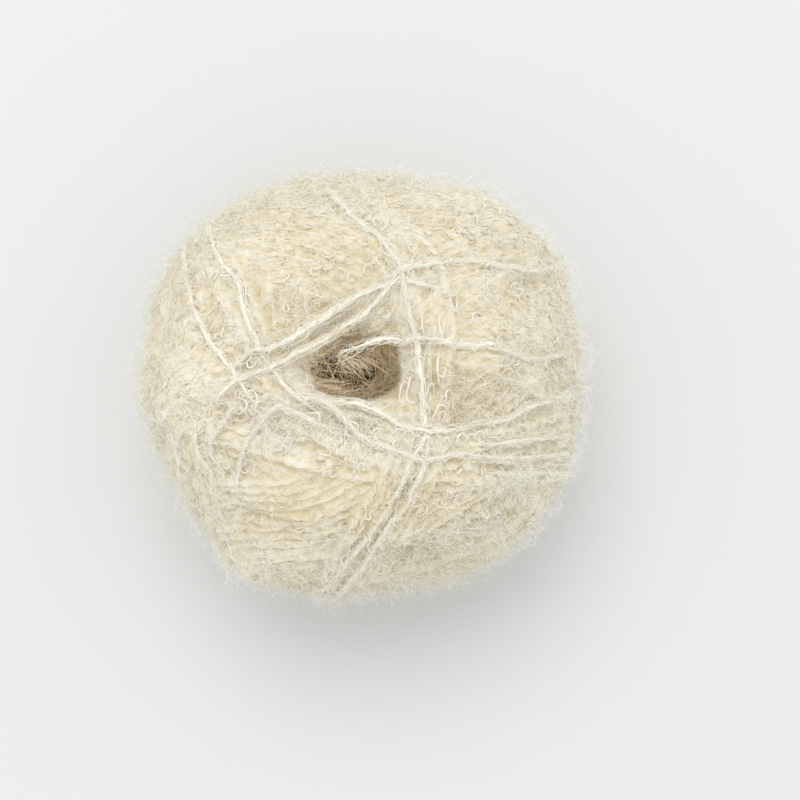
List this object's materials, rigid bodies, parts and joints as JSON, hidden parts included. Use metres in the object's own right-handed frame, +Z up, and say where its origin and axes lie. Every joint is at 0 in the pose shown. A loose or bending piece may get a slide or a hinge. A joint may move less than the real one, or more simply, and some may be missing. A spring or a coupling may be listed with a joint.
{
  "type": "ball of boucle mohair yarn",
  "caption": "Soft round ball of wound boucle mohair yarn with looped, fuzzy turns, crossing bands, a small flat spot to rest on and a blind hollow in its crown.",
  "frame": {"origin": "middle of the ball's bounding box in X and Y, at the level of the flat spot that it rests on", "axes": "+Z up along the winding axis and out of the hollow, +X along the ball's widest side"},
  "size_m": [0.1084, 0.102, 0.086],
  "materials": {
    "yarn": "cream, fuzzy and looped"
  },
  "bodies": {
    "root": {"yarn_ball": "yarn"}
  },
  "joints": []
}
